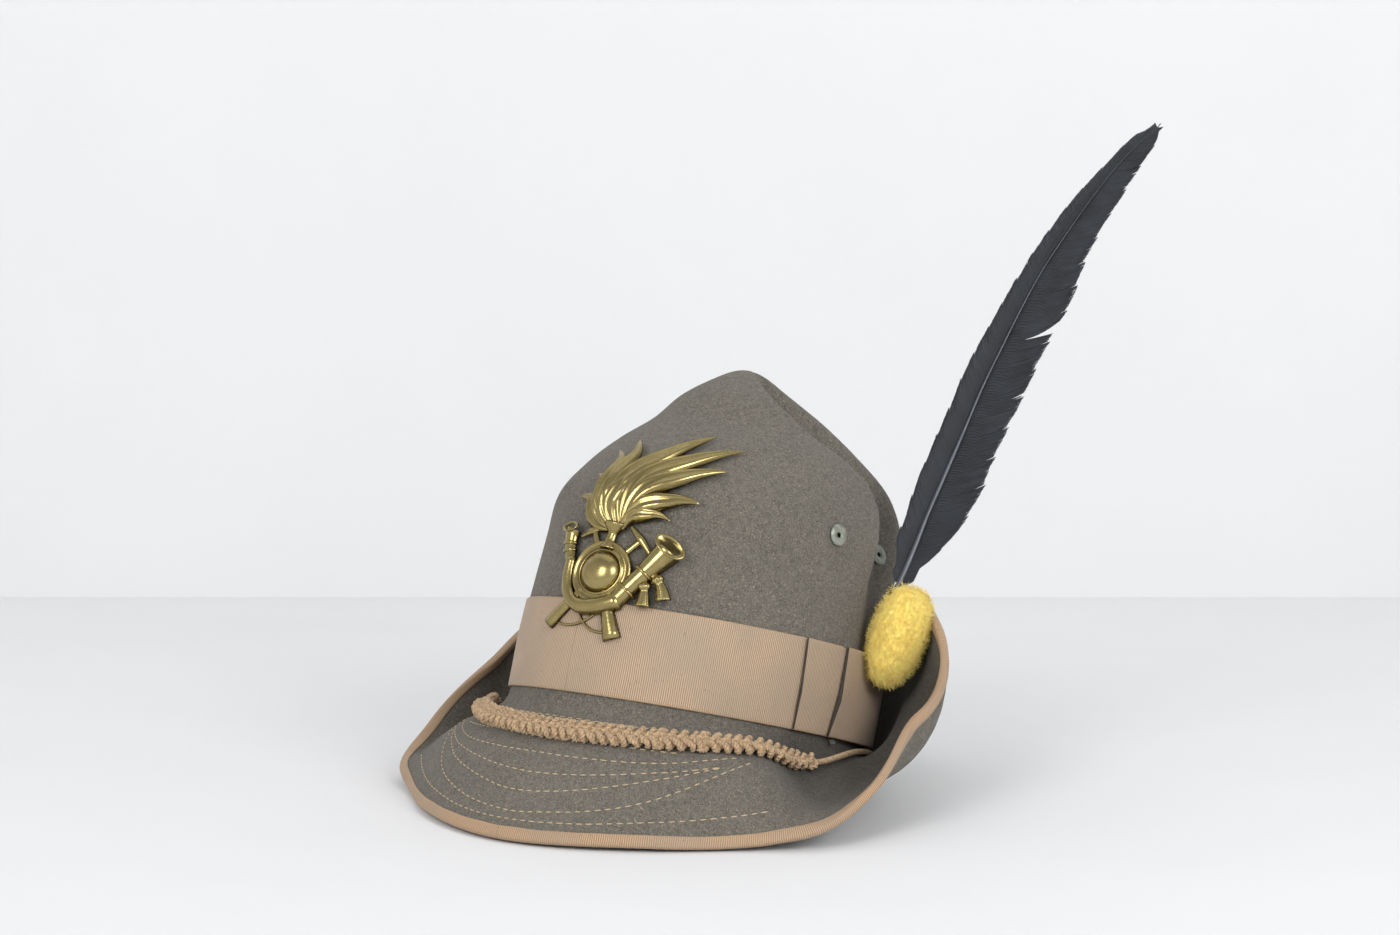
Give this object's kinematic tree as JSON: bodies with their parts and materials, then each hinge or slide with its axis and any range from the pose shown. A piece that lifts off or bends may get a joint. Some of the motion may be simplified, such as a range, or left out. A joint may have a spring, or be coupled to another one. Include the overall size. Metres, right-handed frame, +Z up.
{
  "type": "alpine felt hat",
  "caption": "Tall-crowned felt hat with a turned-down front brim and turned-up back, ribbon band, plaited cord, brass badge, wool tuft and long dark feather.",
  "frame": {"origin": "middle of the base of the box round the whole hat, on the surface it rests on", "axes": "+Z up, the visor points to -Y, the wearer's left side with the feather is +X"},
  "size_m": [0.2796, 0.3552, 0.325],
  "materials": {
    "felt": "matt wool felt",
    "ribbon": "ribbed tan ribbon",
    "cord": "plaited tan cord",
    "brass": "old satin brass",
    "wool": "brushed yellow wool",
    "quill": "dark horn",
    "barbs": "blue-black feather barbs",
    "enamel": "grey-green paint"
  },
  "bodies": {
    "root": {"felt_body": "felt", "brim_binding": "ribbon", "hat_band": "ribbon", "band_fold": "ribbon", "band_pleat": "ribbon", "braid": "cord", "twisted_cord": "cord", "badge": "brass", "feather_sleeve": "brass", "wool_tuft": "wool", "feather_shaft": "quill", "inner_vane": "barbs", "outer_vane": "barbs", "vent_eyelet_left_front": "enamel", "vent_eyelet_left_rear": "enamel", "vent_eyelet_right_front": "enamel", "vent_eyelet_right_rear": "enamel"}
  },
  "joints": []
}
